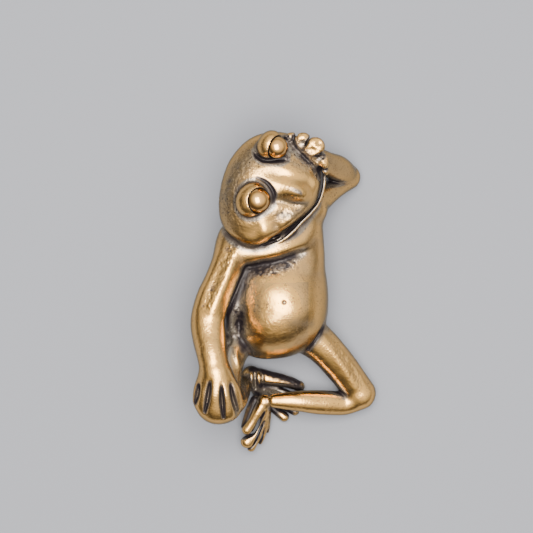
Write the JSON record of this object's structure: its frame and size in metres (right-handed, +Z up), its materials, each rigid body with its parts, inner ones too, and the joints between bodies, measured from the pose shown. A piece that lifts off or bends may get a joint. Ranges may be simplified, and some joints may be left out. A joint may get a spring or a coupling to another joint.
{
  "type": "reclining frog figurine",
  "caption": "Small solid brass frog that lies back on its rump and one elbow, with a hand on its raised knee, made to stand on a shelf.",
  "frame": {"origin": "on the ground, under the middle of the figurine's bounding box", "axes": "+Y from the feet to the head along the figurine's length, +X to the frog's left side, +Z up"},
  "size_m": [0.0312, 0.0539, 0.0231],
  "materials": {
    "cast_brass": "cast and tumbled brass, worn bright on the high spots, dark brown patina left in the creases and pits",
    "polished_brass": "smooth, rubbed bright",
    "brass_wire": "plain drawn wire, hidden inside the seams"
  },
  "bodies": {
    "root": {"torso": "cast_brass", "head": "cast_brass", "right_eyeball": "polished_brass", "left_eyeball": "polished_brass", "right_arm": "cast_brass", "left_arm": "cast_brass", "right_leg": "cast_brass", "left_leg": "cast_brass", "right_foot": "cast_brass", "left_foot": "cast_brass", "neck_dowel": "brass_wire", "right_shoulder_dowel": "brass_wire", "left_shoulder_dowel": "brass_wire", "right_hip_dowel": "brass_wire", "left_hip_dowel": "brass_wire", "right_ankle_dowel": "brass_wire", "left_ankle_dowel": "brass_wire"}
  },
  "joints": []
}
